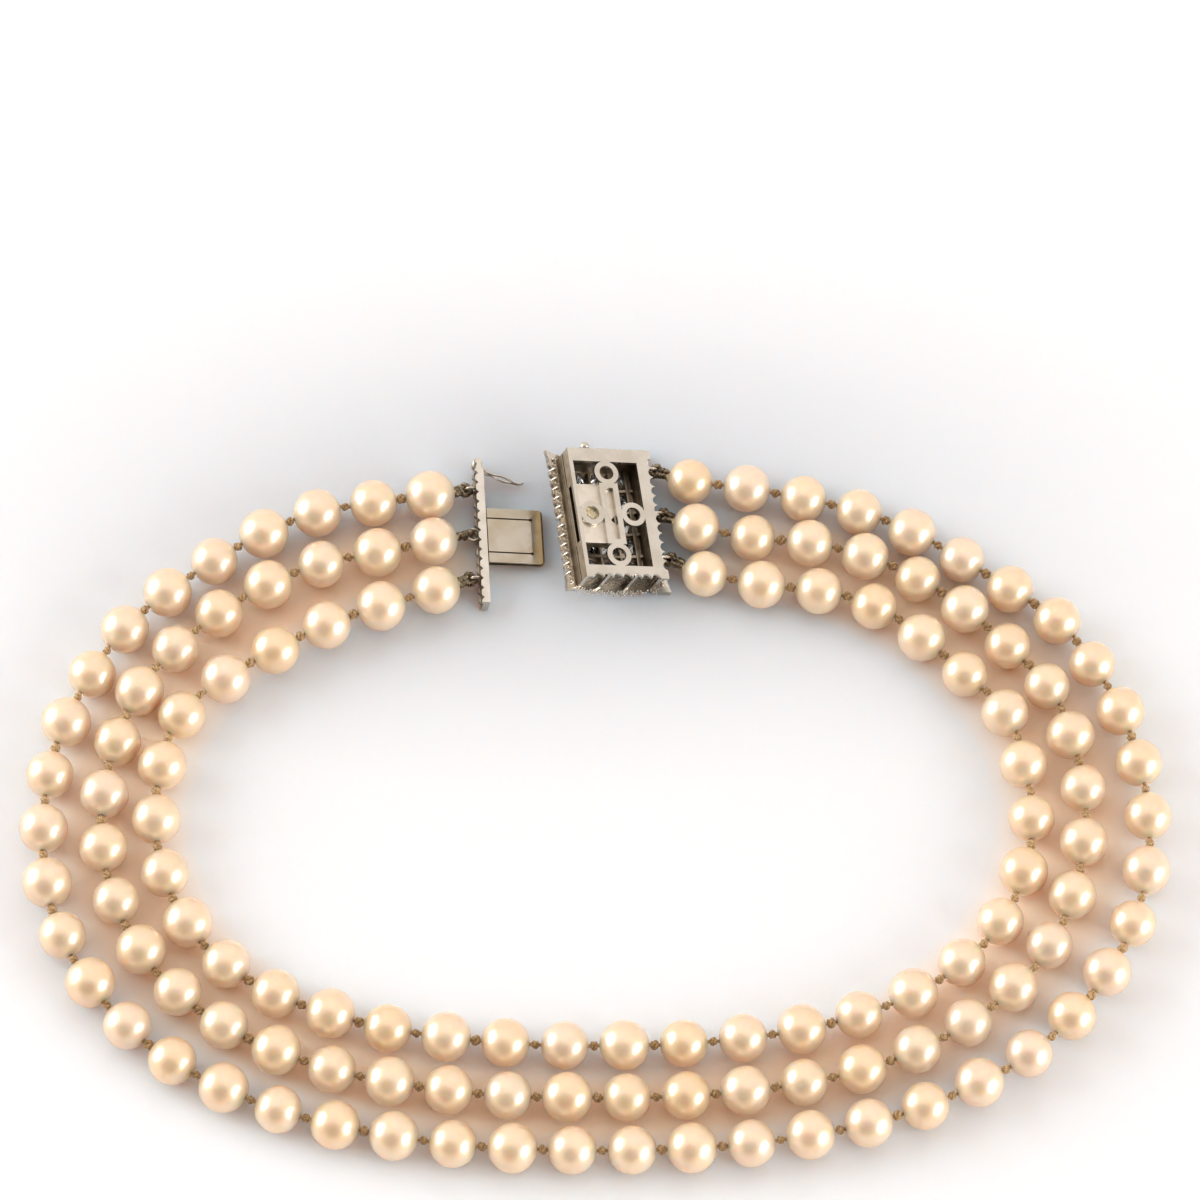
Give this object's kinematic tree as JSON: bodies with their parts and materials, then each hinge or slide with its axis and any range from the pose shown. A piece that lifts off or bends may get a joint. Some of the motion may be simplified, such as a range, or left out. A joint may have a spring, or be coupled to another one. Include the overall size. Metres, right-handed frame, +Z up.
{
  "type": "multi strand pearl necklace",
  "caption": "Three strands of knotted round pearls with a pierced box clasp set with stones, lying open, with folded spring tongue and swinging safety catch.",
  "frame": {"origin": "centre of the whole footprint, on the surface that it lies on", "axes": "+X from the tongue's side to the case's side, +Y towards the clasp, +Z up"},
  "size_m": [0.1748, 0.119, 0.0097],
  "materials": {
    "pearl": "nacre, soft lustre",
    "silk": "twisted silk",
    "coil_wire": "aged coiled wire",
    "white_gold": "polished with fine wear",
    "cut_stone": "clear, faceted"
  },
  "bodies": {
    "necklace": {"pearls_outer": "pearl", "pearls_middle": "pearl", "pearls_inner": "pearl", "thread_outer": "silk", "thread_middle": "silk", "thread_inner": "silk", "end_loop_tongue_outer": "coil_wire", "end_loop_tongue_middle": "coil_wire", "end_loop_tongue_inner": "coil_wire", "end_loop_case_outer": "coil_wire", "end_loop_case_middle": "coil_wire", "end_loop_case_inner": "coil_wire", "clasp_case": "white_gold", "front_stones": "cut_stone", "border_stones": "cut_stone", "tongue_bar": "white_gold"},
    "safety_catch": {"safety_catch": "white_gold"}
  },
  "joints": [
    {"name": "catch_swing", "type": "hinge", "parent": "necklace", "child": "safety_catch", "pos_m": [-0.01843, 0.05735, 0.00202], "axis": [0.1819, 0.0105, 0.9833], "range_deg": [-4, 110]}
  ]
}
